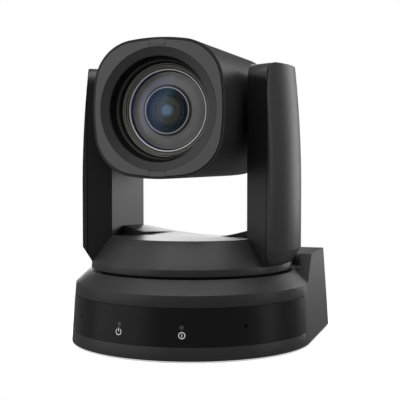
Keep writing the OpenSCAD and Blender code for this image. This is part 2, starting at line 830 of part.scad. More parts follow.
module bezel_tabs() {
    color("#4a4a4c") for (s = [-1, 1]) difference() {
        intersection() {
            bezel_notch(s, 0);
            head_extrude(-bezel_front + 0.05, 0) squircle(rim_t + 0.06);
        }
        translate([0, -50, lens_z]) rotate([90, 0, 0]) cylinder(r = bezel_opening_r, h = 10, $fn = fine);
    }
}

module lens_trim() {
    color("#2f2f31") lens_turn() polygon([[29, 54.2], [33.55, 54.2], [33.55, 56.9], [29, 55.7]]);
}

module lens_hood() {
    color("#0e0e0f") lens_turn() polygon([
        [29, 54], [28.6, 49.3], [27.1, 49], [26.8, 44.3], [25.7, 44], [25.5, 41.4],
        [29.5, 41.4], [30.2, 47], [31.5, 54]
    ]);
}

module front_cell() {
    color("#1a1a1b") lens_turn() polygon([
        [22.6, 36.2], [28.5, 36.2], [28.5, 41.2], [25.3, 41.2], [25.3, 43.2], [24.9, 43.2],
        [24.9, 42.6], [24.5, 42.6], [24.5, 42], [24.1, 42], [24.1, 41.4], [23.6, 41.4],
        [23.6, 39.9], [22.6, 39.9]
    ]);
}

module retainer_ring() {
    color("#c9c4b8") lens_turn()
        polygon([[22.4, 40.1], [23.5, 40.1], [23.5, 41.3], [22.9, 41.6], [22.4, 41.3]]);
}

// A lens with a crowned front and a hollow back, of radius r, front pole at f.
module meniscus(r, f, crown, t, hollow) {
    front_r = (r * r + crown * crown) / (2 * crown);
    back_r = (r * r + hollow * hollow) / (2 * hollow);
    lens_turn() difference() {
        intersection() {
            translate([0, f - front_r]) circle(r = front_r, $fn = fine * 2);
            translate([0, f - t - hollow]) square([r, t + hollow + 1]);
        }
        translate([0, f - t - back_r]) circle(r = back_r, $fn = fine * 2);
    }
}

// A lens with a crowned front and a flat back.
module plano(r, f, crown, t) {
    front_r = (r * r + crown * crown) / (2 * crown);
    lens_turn() intersection() {
        translate([0, f - front_r]) circle(r = front_r, $fn = fine * 2);
        translate([0, f - t]) square([r, t + 1]);
    }
}

module front_lens() {
    color([0.55, 0.6, 0.8, 0.4]) meniscus(22.3, 47.6, 7, 2.4, 5.8);
}

module lens_baffle() {
    color("#3c3a35") lens_turn() polygon([
        [12.5, 40.2], [13.6, 40.2], [22.5, 37.9], [22.5, 38.9], [13.6, 41.3], [13.4, 42.3], [12.5, 42.3]
    ]);
}

module inner_lenses() {
    color([0.4, 0.55, 0.7, 0.4]) {
        plano(12.4, 44.2, 2.3, 3.6);
        plano(8.6, 39.9, 1.4, 1.9);
    }
}

module iris_plate() {
    color("#232325") lens_turn() polygon([
        [4.4, 37], [4.4, 36.6], [21, 36.1], [21, 36.9], [9.6, 37.4], [9.6, 40.4], [8.7, 40.4], [8.7, 37.4]
    ]);
}

module lens_block() {
    color("#2a2a2c") difference() {
        union() {
            difference() {
                block(-block_half, block_half, -block_front, block_rear,
                    lens_z - block_half, lens_z + block_half);
                block(-block_in, block_in, 2 - block_front, block_rear - 2,
                    lens_z - block_in, lens_z + block_in);
            }
            block(17, block_in + 1, zoom_motor_y, zoom_motor_y + 7, lens_z + 6, lens_z + 18);
            block(-block_in - 1, -17, focus_motor_y + 3, focus_motor_y + 10, lens_z - 18, lens_z - 6);
        }
        head_extrude(-block_front - 1, -block_front + 3, lens_z) circle(r = 13);
        block(-9, 9, block_rear - 3, block_rear + 1, lens_z - 7, lens_z + 7);
        motor_body(rod_x, rod_z, zoom_motor_y, 5.05);
        motor_body(-rod_x, -rod_z, focus_motor_y, 5.05);
    }
}

// A rod along Y at a place beside the lens axis.
module lens_rod(x, z, y0, y1, r) {
    translate([0, y1, 0]) rotate([90, 0, 0]) translate([x, lens_z + z, 0])
        cylinder(r = r, h = y1 - y0, $fn = 48);
}

module motor_body(x, z, y0, r) {
    lens_rod(x, z, y0, y0 + lens_motor_len, r);
}

module guide_rods() {
    color("#c4c6c9") {
        lens_rod(-rod_x, rod_z, 2 - block_front, block_rear - 2, rod_r);
        lens_rod(rod_x, -rod_z, 2 - block_front, block_rear - 2, rod_r);
    }
}

module sensor_board() {
    color("#1f5c3a") union() {
        block(-7, 7, block_rear - 0.5, block_rear + 1.6, lens_z - 5.5, lens_z + 5.5);
        block(-20, 20, block_rear + 1.5, block_rear + 3.1, lens_z - 20, lens_z + 20);
        block(-24, 24, block_rear + 11, block_rear + 12.6, lens_z - 23, lens_z + 23);
        for (x = [-17, 17], z = [-17, 17]) lens_rod(x, z, block_rear + 3, block_rear + 11.1, 1.8);
        block(-8, 8, block_rear + 12.5, block_rear + 14, lens_z - 8, lens_z + 8);
        block(-14, 14, block_rear + 12.5, block_rear + 15, lens_z + 15, lens_z + 20);
    }
}

module lens_motors() {
    color("#6d6f72") for (m = [[rod_x, rod_z, zoom_motor_y, -1], [-rod_x, -rod_z, focus_motor_y, 6]])
        difference() {
            motor_body(m[0], m[1], m[2], 5);
            lens_rod(m[0], m[1], m[2] + m[3], m[2] + m[3] + 6, rod_r + run_gap);
        }
}

module tilt_hubs() {
    color("#2c2c2e") both_sides() {
        x_ring(15, 0, hub_x0 - 2.4, hub_x0, tilt_z);
        x_ring(hub_r, 0, hub_x0, hub_x1, tilt_z);
        x_ring(tilt_shaft_r, 0, hub_x1, tilt_pulley_x1 + 0.5, tilt_z);
    }
}

module tilt_pulley() {
    color("#b5b7ba") translate([0, 0, tilt_z]) rotate([0, 90, 0])
        pulley(tilt_pulley_r, tilt_shaft_r, tilt_pulley_x0, tilt_pulley_x1, 0.9);
}

// A lens carriage: a ring with ears for both guide rods and for the lead screw's nut.
module carriage(y0, y1, bore, screw_angle) {
    ear = atan2(rod_z, rod_x);
    reach = norm([rod_x, rod_z]);
    head_extrude(y0, y1, lens_z) difference() {
        union() {
            circle(r = 13.4);
            for (a = [180 - ear, -ear, screw_angle]) rotate(a) {
                translate([0, -2.4]) square([reach, 4.8]);
                translate([reach, 0]) circle(r = 2.6);
            }
        }
        circle(r = bore);
        for (a = [180 - ear, -ear, screw_angle]) rotate(a) translate([reach, 0])
            circle(r = rod_r + run_gap, $fn = 48);
    }
}

module zoom_carriage() { color("#2a2a2c") carriage(zoom_y, zoom_y + 6, 10, atan2(rod_z, rod_x)); }
module zoom_lens() { color([0.5, 0.6, 0.75, 0.4]) plano(10, 0.2 - zoom_y, 1.5, 4.5); }
module zoom_screw() { color("#c4c6c9") lens_rod(rod_x, rod_z, -31, zoom_motor_y + 4, rod_r); }
module focus_carriage() { color("#2a2a2c") carriage(focus_y, focus_y + 5, 9, 180 + atan2(rod_z, rod_x)); }
module focus_lens() { color([0.5, 0.6, 0.75, 0.4]) plano(9, 0.1 - focus_y, 1.2, 4); }
module focus_screw() { color("#c4c6c9") lens_rod(-rod_x, -rod_z, focus_motor_y + 7, 20, rod_r); }

base_housing();
base_plate();
rubber_feet();
tripod_insert();
base_screws();
front_window();
status_leds();
rear_panel();
power_jack();
lan_port();
usb_port();
hdmi_port();
sdi_port();
control_port();
main_board();
pan_frame();
pan_motor();
pan_bearing();
pan_belt();
pan_motor_pulley();
turret_shell();
turntable();
pan_shaft();
pan_pulley();
signal_cable();
left_arm_bracket();
right_arm_bracket();
left_arm_inner();
right_arm_inner();
left_arm_cover();
right_arm_cover();
tilt_bearings();
tilt_motor();
tilt_belt();
yoke_screws();
tilt_motor_pulley();
head_shell();
head_rear_cover();
front_bezel();
bezel_tabs();
lens_trim();
lens_hood();
front_cell();
retainer_ring();
front_lens();
lens_baffle();
inner_lenses();
iris_plate();
lens_block();
guide_rods();
sensor_board();
lens_motors();
tilt_hubs();
tilt_pulley();
zoom_carriage();
zoom_lens();
zoom_screw();
focus_carriage();
focus_lens();
focus_screw();
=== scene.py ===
"""Looks of a pan, tilt and zoom camera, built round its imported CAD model."""
import json
import math

import bmesh
import bpy
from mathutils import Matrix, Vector


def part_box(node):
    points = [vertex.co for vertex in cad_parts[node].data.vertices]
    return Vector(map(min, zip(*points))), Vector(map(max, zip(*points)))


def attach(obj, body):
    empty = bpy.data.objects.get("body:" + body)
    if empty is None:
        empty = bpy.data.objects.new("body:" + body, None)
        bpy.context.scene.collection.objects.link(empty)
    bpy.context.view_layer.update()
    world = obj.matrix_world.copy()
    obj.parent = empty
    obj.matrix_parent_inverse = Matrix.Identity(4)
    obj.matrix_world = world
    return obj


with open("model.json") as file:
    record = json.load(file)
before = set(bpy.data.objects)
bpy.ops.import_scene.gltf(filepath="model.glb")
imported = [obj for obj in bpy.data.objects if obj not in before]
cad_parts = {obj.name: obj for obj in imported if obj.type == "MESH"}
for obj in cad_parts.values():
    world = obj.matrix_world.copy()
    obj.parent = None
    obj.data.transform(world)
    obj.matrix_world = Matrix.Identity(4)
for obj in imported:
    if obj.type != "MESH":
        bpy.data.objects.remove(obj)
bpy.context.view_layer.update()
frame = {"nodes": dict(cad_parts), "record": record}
MM = 0.001
LENS_Z = sum(corner[2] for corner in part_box("front_lens")) / 2
LENS_AXIS = (0, 0, LENS_Z)  # a point on the lens axis, which runs along Y
ACROSS_LENS = (1, 0, 1)     # the axes across it

CAMERA_LENS = 84.52         # focal length, in mm
CAMERA_SHIFT = (0.0062, 0.0154)
CAMERA_PLACE = (0.1862, -0.5325, 0.1071)  # in metres, as are all places here
CAMERA_DOWN = 2.747         # how far below level it looks, in degrees
CAMERA_TURN = 18.933        # and how far to the left, in degrees
LIT_POINT = (0, 0, 0.09)    # what every lamp is aimed at

FLOOR_HALF = 6.0            # half of the floor's side, in metres
FLOOR_CENTER = (0, 0.01, 0)  # the middle of the patch that shows the object's shadow
FLOOR_NEAR = 0.085          # the shadow shows in full up to here, in metres from that middle
FLOOR_FAR = 0.17            # and the floor is plain white from here on
FLOOR_GLOW = 0.55           # how much light the near floor adds to what falls on it
WORLD_GLOW = 0.45           # light all round on matt surfaces
WORLD_GLOSS = 0.2           # the same in mirror images

WINDOW_R = 72               # radius of the front window carried down to the ground, in mm
WINDOW_DRAFT = 0.0734       # how much it loses for each mm of height
LIGHT_HALF = 1.0            # about half the width of a status light, in mm
MARK_Z = 14.8               # height of the printed marks' middles, in mm
MARK_SIZE = 3.8             # their diameter, in mm
PRINT_LOW = 0.01            # the print starts this far off the window, in mm
PRINT_HIGH = 0.05           # and ends here

NOISE_LOW, NOISE_HIGH = 0.3, 0.7  # the range that most of a noise's values lie in
BAND_BLUR = 0.12            # half of the blend between two turned rings, in mm
EDGE_MIRROR = 0.75          # how much stronger lens glass mirrors where it is seen edge on
PLATING = (0.6, 0.59, 0.56)
SOCKET_DARK = (0.012, 0.012, 0.013)
SOCKET_LIP = 0.9            # depth of a socket's plated mouth, in mm
LIP_BLEND = 0.15            # and of its change to dark plastic

SAME_POINT = 0.000002       # mesh points this close are joined before edges are rounded, in metres
NEAR_POINT = 0.00002        # and this close before facets are blended
ROUNDED_ANGLE = 32          # edges sharper than this are rounded, in degrees
SMOOTH_ANGLE = 35           # facets that meet at less than this are shaded as one, in degrees


# ---------- camera, floor and light ----------

def aim(lamp, target):
    """Turns a lamp at its place to face a target."""
    away = Vector(lamp.location) - Vector(target)
    lamp.rotation_euler = away.to_track_quat("Z", "Y").to_euler()


def add_camera():
    """A long lens a little below the head's height, on the right of the front."""
    data = bpy.data.cameras.new("camera")
    data.lens = CAMERA_LENS
    data.shift_x, data.shift_y = CAMERA_SHIFT
    camera = bpy.data.objects.new("camera", data)
    bpy.context.scene.collection.objects.link(camera)
    camera.location = CAMERA_PLACE
    camera.rotation_euler = (math.radians(90 - CAMERA_DOWN), 0, math.radians(CAMERA_TURN))
    bpy.context.scene.camera = camera


def add_softbox(name, azimuth, elevation, distance, width, height, power):
    """An area lamp aimed at the object's middle. Azimuth 0 is in front of it, and 90 is toward +X."""
    a, e = math.radians(azimuth), math.radians(elevation)
    data = bpy.data.lights.new(name, "AREA")
    data.shape = "RECTANGLE"
    data.size = width
    data.size_y = height
    data.energy = power
    lamp = bpy.data.objects.new(name, data)
    bpy.context.scene.collection.objects.link(lamp)
    toward = Vector((math.sin(a) * math.cos(e), -math.cos(a) * math.cos(e), math.sin(e)))
    lamp.location = Vector(LIT_POINT) + distance * toward
    aim(lamp, LIT_POINT)
    lamp.visible_camera = False


def add_floor():
    """A pale paper floor that keeps a contact shadow and fades to plain white further out."""
    corners = [(x * FLOOR_HALF, y * FLOOR_HALF, 0) for x, y in ((-1, -1), (1, -1), (1, 1), (-1, 1))]
    mesh = bpy.data.meshes.new("floor")
    mesh.from_pydata(corners, [], [(0, 1, 2, 3)])
    floor = bpy.data.objects.new("floor", mesh)
    bpy.context.scene.collection.objects.link(floor)
    material, tree, shader = new_material("floor_paper", (0.9, 0.9, 0.9), 0.9)
    shader.inputs["Emission Color"].default_value = (1, 1, 1, 1)
    shader.inputs["Emission Strength"].default_value = FLOOR_GLOW
    far = tree.nodes.new("ShaderNodeEmission")
    fade = tree.nodes.new("ShaderNodeMapRange")
    fade.interpolation_type = "SMOOTHSTEP"
    fade.inputs["From Min"].default_value = FLOOR_NEAR
    fade.inputs["From Max"].default_value = FLOOR_FAR
    tree.links.new(distance_from(tree, FLOOR_CENTER, (1, 1, 0)), fade.inputs["Value"])
    mix = tree.nodes.new("ShaderNodeMixShader")
    tree.links.new(fade.outputs["Result"], mix.inputs[0])
    tree.links.new(shader.outputs["BSDF"], mix.inputs[1])
    tree.links.new(far.outputs["Emission"], mix.inputs[2])
    tree.links.new(mix.outputs["Shader"], tree.nodes["Material Output"].inputs["Surface"])
    floor.data.materials.append(material)
    floor.visible_diffuse = False
    floor.visible_glossy = False


def add_world():
    """Plain light all round, weaker in gloss, and pure white where the camera looks past the object."""
    world = bpy.data.worlds.new("studio")
    bpy.context.scene.world = world
    world.use_nodes = True
    tree = world.node_tree
    tree.nodes.clear()
    out = tree.nodes.new("ShaderNodeOutputWorld")
    path = tree.nodes.new("ShaderNodeLightPath")
    shades = []
    for strength in (WORLD_GLOW, WORLD_GLOSS, 1.0):
        shade = tree.nodes.new("ShaderNodeBackground")
        shade.inputs["Color"].default_value = (1, 1, 1, 1)
        shade.inputs["Strength"].default_value = strength
        shades.append(shade.outputs[0])
    result = shades[0]
    for ray, shade in (("Is Glossy Ray", shades[1]), ("Is Camera Ray", shades[2])):
        mix = tree.nodes.new("ShaderNodeMixShader")
        tree.links.new(path.outputs[ray], mix.inputs[0])
        tree.links.new(result, mix.inputs[1])
        tree.links.new(shade, mix.inputs[2])
        result = mix.outputs[0]
    tree.links.new(result, out.inputs["Surface"])


def add_studio():
    """Plain light all round, a large panel on the front left, and soft boxes above, right and behind."""
    bpy.context.scene.view_settings.view_transform = "Standard"
    add_world()
    for row in (
            # name, azimuth, elevation in degrees, distance, width, height in metres, power in watts
            ("front_panel", -52, 23, 1.3, 1.7, 1.9, 8),
            ("top_softbox", 20, 82, 1.4, 1.6, 1.6, 19),
            ("right_softbox", 95, 15, 1.5, 0.5, 1.2, 2.8),
            ("right_rim_softbox", 155, 12, 1.6, 0.6, 1.0, 4.2),
            ("left_rim_softbox", -152, 12, 1.6, 0.7, 1.0, 7)):
        add_softbox(*row)


# ---------- materials ----------

def new_material(name, color, roughness, metallic=0.0):
    """A material with a Principled shader: (material, node tree, shader)."""
    material = bpy.data.materials.new(name)
    material.use_nodes = True
    tree = material.node_tree
    shader = tree.nodes["Principled BSDF"]
    shader.inputs["Base Color"].default_value = (*color, 1)
    shader.inputs["Roughness"].default_value = roughness
    shader.inputs["Metallic"].default_value = metallic
    return material, tree, shader


def noise(tree, scale, detail, stretch=(1, 1, 1)):
    """Noise in the object's own metres, so it stays put when the object turns."""
    place = tree.nodes.new("ShaderNodeTexCoord")
    mapping = tree.nodes.new("ShaderNodeMapping")
    mapping.inputs["Scale"].default_value = stretch
    texture = tree.nodes.new("ShaderNodeTexNoise")
    texture.inputs["Scale"].default_value = scale
    texture.inputs["Detail"].default_value = detail
    tree.links.new(place.outputs["Object"], mapping.inputs["Vector"])
    tree.links.new(mapping.outputs["Vector"], texture.inputs["Vector"])
    return texture.outputs["Fac"]


def distance_from(tree, center, keep):
    """Distance from a point in the object's own metres, counting only the axes in keep."""
    place = tree.nodes.new("ShaderNodeTexCoord")
    away = tree.nodes.new("ShaderNodeVectorMath")
    away.operation = "SUBTRACT"
    away.inputs[1].default_value = center
    flat = tree.nodes.new("ShaderNodeVectorMath")
    flat.operation = "MULTIPLY"
    flat.inputs[1].default_value = keep
    length = tree.nodes.new("ShaderNodeVectorMath")
    length.operation = "LENGTH"
    tree.links.new(place.outputs["Object"], away.inputs[0])
    tree.links.new(away.outputs["Vector"], flat.inputs[0])
    tree.links.new(flat.outputs["Vector"], length.inputs[0])
    return length.outputs["Value"]


def ring_bands(tree, bands, reach):
    """Colours by distance from the lens axis: bands of (outer radius in mm, colour), innermost first."""
    span = tree.nodes.new("ShaderNodeMapRange")
    span.inputs["From Max"].default_value = reach * MM
    tree.links.new(distance_from(tree, LENS_AXIS, ACROSS_LENS), span.inputs["Value"])
    ramp = tree.nodes.new("ShaderNodeValToRGB")
    stops = ramp.color_ramp.elements
    soft = BAND_BLUR / reach
    stops[0].position, stops[0].color = 0, (*bands[0][1], 1)
    stops[1].position, stops[1].color = 1, (*bands[-1][1], 1)
    for (edge, color), (_, beyond) in zip(bands, bands[1:]):
        stops.new(edge / reach - soft).color = (*color, 1)
        stops.new(edge / reach + soft).color = (*beyond, 1)
    tree.links.new(span.outputs["Result"], ramp.inputs["Fac"])
    return ramp.outputs["Color"]


def spread(tree, value, low, high):
    """A noise's value spread between two limits."""
    span = tree.nodes.new("ShaderNodeMapRange")
    span.inputs["From Min"].default_value = NOISE_LOW
    span.inputs["From Max"].default_value = NOISE_HIGH
    span.inputs["To Min"].default_value = low
    span.inputs["To Max"].default_value = high
    tree.links.new(value, span.inputs["Value"])
    return span.outputs["Result"]


def vary_color(tree, shader, color, amount, scale):
    """Lets the base colour drift a little over the surface."""
    mix = tree.nodes.new("ShaderNodeMix")
    mix.data_type = "RGBA"
    mix.inputs["A"].default_value = (*[c * (1 - amount) for c in color], 1)
    mix.inputs["B"].default_value = (*[min(1, c * (1 + amount)) for c in color], 1)
    tree.links.new(noise(tree, scale, 3), mix.inputs["Factor"])
    tree.links.new(mix.outputs["Result"], shader.inputs["Base Color"])


def add_bump(tree, shader, height, strength, distance):
    """Bump of a given strength, over a full height in metres."""
    bump = tree.nodes.new("ShaderNodeBump")
    bump.inputs["Strength"].default_value = strength
    bump.inputs["Distance"].default_value = distance
    tree.links.new(height, bump.inputs["Height"])
    tree.links.new(bump.outputs["Normal"], shader.inputs["Normal"])


def moulded_plastic(name, color, roughness, grain=0.35, specular=0.5):
    """Moulded plastic with the fine spark-eroded grain of a camera housing."""
    material, tree, shader = new_material(name, color, roughness)
    shader.inputs["Specular IOR Level"].default_value = specular
    vary_color(tree, shader, color, 0.08, 45)
    fine = noise(tree, 2600, 3)
    tree.links.new(spread(tree, fine, roughness - 0.05, roughness + 0.06), shader.inputs["Roughness"])
    add_bump(tree, shader, fine, strength=grain, distance=0.00003)
    return material


def banded_plastic(name, bands, roughness, reach=26.0, uneven=0.0, specular=0.3):
    """Barrel plastic with its rings as colour bands round the lens axis, some of them painted highlights and
    painted reflections, mottled by a share where uneven.
    """
    material, tree, shader = new_material(name, bands[0][1], roughness)
    shader.inputs["Specular IOR Level"].default_value = specular
    color = ring_bands(tree, bands, reach)
    if uneven:
        shade = tree.nodes.new("ShaderNodeMix")
        shade.data_type = "RGBA"
        shade.blend_type = "MULTIPLY"
        shade.inputs["Factor"].default_value = 1
        tree.links.new(color, shade.inputs["A"])
        tree.links.new(spread(tree, noise(tree, 45, 1), 1 - uneven, 1), shade.inputs["B"])
        color = shade.outputs["Result"]
    tree.links.new(color, shader.inputs["Base Color"])
    add_bump(tree, shader, noise(tree, 2200, 2), strength=0.15, distance=0.00002)
    return material


def gloss_plastic(name, color, roughness, specular=0.5):
    """Polished plastic with the faint ripple of a moulding."""
    material, tree, shader = new_material(name, color, roughness)
    shader.inputs["Specular IOR Level"].default_value = specular
    vary_color(tree, shader, color, 0.05, 60)
    tree.links.new(spread(tree, noise(tree, 90, 4), roughness - 0.02, roughness + 0.04),
                   shader.inputs["Roughness"])
    add_bump(tree, shader, noise(tree, 40, 1), strength=0.05, distance=0.0002)
    return material


def metal(name, color, roughness, stretch=(1, 1, 1)):
    """Machined or rolled metal, with fine marks drawn out along one way."""
    material, tree, shader = new_material(name, color, roughness, metallic=1.0)
    vary_color(tree, shader, color, 0.06, 80)
    marks = noise(tree, 900, 4, stretch)
    tree.links.new(spread(tree, marks, roughness - 0.08, roughness + 0.1), shader.inputs["Roughness"])
    add_bump(tree, shader, marks, strength=0.12, distance=0.00002)
    return material


def lipped_socket(name, face_y):
    """A socket's plated metal mouth, with dark plastic from the lip's depth inward."""
    material, tree, shader = new_material(name, PLATING, 0.3)
    place = tree.nodes.new("ShaderNodeTexCoord")
    axes = tree.nodes.new("ShaderNodeSeparateXYZ")
    depth = tree.nodes.new("ShaderNodeMapRange")
    depth.inputs["From Min"].default_value = face_y - (SOCKET_LIP + LIP_BLEND) * MM
    depth.inputs["From Max"].default_value = face_y - SOCKET_LIP * MM
    mix = tree.nodes.new("ShaderNodeMix")
    mix.data_type = "RGBA"
    mix.inputs["A"].default_value = (*SOCKET_DARK, 1)
    mix.inputs["B"].default_value = (*PLATING, 1)
    tree.links.new(place.outputs["Object"], axes.inputs["Vector"])
    tree.links.new(axes.outputs["Y"], depth.inputs["Value"])
    tree.links.new(depth.outputs["Result"], mix.inputs["Factor"])
    tree.links.new(mix.outputs["Result"], shader.inputs["Base Color"])
    tree.links.new(depth.outputs["Result"], shader.inputs["Metallic"])
    tree.links.new(spread(tree, noise(tree, 1800, 3), 0.25, 0.36), shader.inputs["Roughness"])
    return material


def rubber(name, color):
    """Matt rubber with a dusty, uneven skin."""
    material, tree, shader = new_material(name, color, 0.8)
    vary_color(tree, shader, color, 0.15, 120)
    add_bump(tree, shader, noise(tree, 1500, 4), strength=0.4, distance=0.00005)
    return material


def circuit_board(name):
    """Green solder mask with copper tracks under it."""
    material, tree, shader = new_material(name, (0.02, 0.12, 0.06), 0.35)
    place = tree.nodes.new("ShaderNodeTexCoord")
    tracks = tree.nodes.new("ShaderNodeTexBrick")
    tracks.inputs["Color1"].default_value = (0.015, 0.1, 0.05, 1)
    tracks.inputs["Color2"].default_value = (0.02, 0.13, 0.065, 1)
    tracks.inputs["Mortar"].default_value = (0.05, 0.2, 0.09, 1)
    tracks.inputs["Scale"].default_value = 240
    tracks.inputs["Mortar Size"].default_value = 0.03
    tree.links.new(place.outputs["Object"], tracks.inputs["Vector"])
    tree.links.new(tracks.outputs["Color"], shader.inputs["Base Color"])
    add_bump(tree, shader, noise(tree, 700, 2), strength=0.1, distance=0.00004)
    return material


def add_painted_reflection(tree, surface, radius, core, color, share):
    """Paints a tinted reflection over glass, in place of the light that deep lenses send back: full inside
    core, gone at radius, in mm.
    """
    fade = tree.nodes.new("ShaderNodeMapRange")
    fade.interpolation_type = "SMOOTHSTEP"
    fade.inputs["From Min"].default_value = core * MM
    fade.inputs["From Max"].default_value = radius * MM
    fade.inputs["To Min"].default_value = share
    fade.inputs["To Max"].default_value = 0
    tree.links.new(distance_from(tree, LENS_AXIS, ACROSS_LENS), fade.inputs["Value"])
    # the painted reflection is a plain diffuse colour, not a mirror image
    painted_reflection = tree.nodes.new("ShaderNodeBsdfDiffuse")
    painted_reflection.inputs["Color"].default_value = (*color, 1)
    mix = tree.nodes.new("ShaderNodeMixShader")
    tree.links.new(fade.outputs["Result"], mix.inputs["Fac"])
    tree.links.new(surface, mix.inputs[1])
    tree.links.new(painted_reflection.outputs["BSDF"], mix.inputs[2])
    return mix.outputs["Shader"]


def flattened_normal(tree, flatten):
    """The normal leaned toward the lens axis, for a mirror image as broad as a flatter lens gives."""
    place = tree.nodes.new("ShaderNodeTexCoord")
    lean = tree.nodes.new("ShaderNodeMix")
    lean.data_type = "VECTOR"
    lean.inputs["Factor"].default_value = flatten
    lean.inputs["B"].default_value = (0, -1, 0)
    turn = tree.nodes.new("ShaderNodeVectorTransform")
    turn.vector_type = "NORMAL"
    turn.convert_from = "OBJECT"
    turn.convert_to = "WORLD"
    tree.links.new(place.outputs["Normal"], lean.inputs["A"])
    tree.links.new(lean.outputs["Result"], turn.inputs["Vector"])
    return turn.outputs["Vector"]


def coated_glass(name, tint, coating, mirror, flatten=0.0, painted_reflections=()):
    """Lens glass too thin to bend the view: clear, under the tinted mirror image of its many surfaces and any
    painted reflections.
    """
    material = bpy.data.materials.new(name)
    material.use_nodes = True
    tree = material.node_tree
    tree.nodes.clear()
    out = tree.nodes.new("ShaderNodeOutputMaterial")
    through = tree.nodes.new("ShaderNodeBsdfTransparent")
    through.inputs["Color"].default_value = (*tint, 1)
    gloss = tree.nodes.new("ShaderNodeBsdfGlossy")
    gloss.inputs["Color"].default_value = (*coating, 1)
    gloss.inputs["Roughness"].default_value = 0.03
    fresnel = tree.nodes.new("ShaderNodeFresnel")
    fresnel.inputs["IOR"].default_value = 1.3
    share = tree.nodes.new("ShaderNodeMapRange")
    share.inputs["To Min"].default_value = mirror
    share.inputs["To Max"].default_value = mirror + EDGE_MIRROR
    bump = tree.nodes.new("ShaderNodeBump")
    bump.inputs["Strength"].default_value = 0.01
    bump.inputs["Distance"].default_value = 0.0001
    mix = tree.nodes.new("ShaderNodeMixShader")
    tree.links.new(noise(tree, 60, 1), bump.inputs["Height"])
    tree.links.new(flattened_normal(tree, flatten), bump.inputs["Normal"])
    tree.links.new(bump.outputs["Normal"], gloss.inputs["Normal"])
    tree.links.new(fresnel.outputs["Fac"], share.inputs["Value"])
    tree.links.new(share.outputs["Result"], mix.inputs["Fac"])
    tree.links.new(through.outputs["BSDF"], mix.inputs[1])
    tree.links.new(gloss.outputs["BSDF"], mix.inputs[2])
    surface = mix.outputs["Shader"]
    for painted_reflection in painted_reflections:
        surface = add_painted_reflection(tree, surface, *painted_reflection)
    tree.links.new(surface, out.inputs["Surface"])
    return material


def slot_materials():
    """The finish of each of the record's material slots, apart from those whose nodes have their own."""
    return {
        "housing": moulded_plastic("housing_plastic", (0.022, 0.022, 0.023), 0.42, specular=0.35),
        "yoke_shell": moulded_plastic("yoke_plastic", (0.022, 0.022, 0.023), 0.38, specular=0.4),
        "arm_inner": moulded_plastic("arm_plastic", (0.008, 0.008, 0.0085), 0.38, specular=0.5),
        "head_shell": moulded_plastic("head_plastic", (0.016, 0.016, 0.017), 0.48, specular=0.42),
        "bezel": moulded_plastic("bezel_plastic", (0.078, 0.078, 0.08), 0.45, grain=0.25),
        "window": gloss_plastic("window_plastic", (0.006, 0.006, 0.0065), 0.3, specular=0.2),
        "led": gloss_plastic("light_lens", (0.05, 0.055, 0.055), 0.25),
        "foot_rubber": rubber("foot_rubber", (0.02, 0.02, 0.02)),
        "belt": rubber("belt_rubber", (0.015, 0.015, 0.015)),
        "brass": metal("brass", (0.62, 0.45, 0.2), 0.3),
        "steel": metal("steel", (0.55, 0.56, 0.57), 0.3),
        "plate_metal": moulded_plastic("plate_coating", (0.06, 0.06, 0.062), 0.5, grain=0.5),
        "aluminium": metal("aluminium", (0.6, 0.61, 0.62), 0.35),
        "motor": metal("motor_steel", (0.25, 0.26, 0.27), 0.4),
        "circuit_board": circuit_board("circuit_board"),
        "panel": moulded_plastic("panel_coating", (0.016, 0.016, 0.018), 0.5, grain=0.5),
        "socket_plastic": gloss_plastic("socket_plastic", (0.01, 0.01, 0.011), 0.3),
        "socket_metal": metal("socket_metal", (0.5, 0.49, 0.47), 0.28, (0.3, 0.02, 0.3)),
        "lens_trim": moulded_plastic("trim_plastic", (0.0225, 0.0225, 0.023), 0.4),
        "lens_black": moulded_plastic("lens_black", (0.010, 0.010, 0.010), 0.45, grain=0.2),
        "front_glass": coated_glass("front_glass", (0.96, 0.97, 0.98), (0.3, 0.34, 0.76), 0.012, flatten=0.5),
        # painted reflections of the deep lenses on the inner glass: a faint warm tint out to 8.4 mm and a
        # blue heart out to 4 mm
        "inner_glass": coated_glass("inner_glass", (0.95, 0.97, 0.95), (0.3, 0.75, 1.0), 0.004,
                                    painted_reflections=[(8.4, 7.6, (1.0, 0.84, 0.5), 0.035),
                                           (4.0, 1.6, (0.42, 0.66, 1.0), 0.24)]),
    }


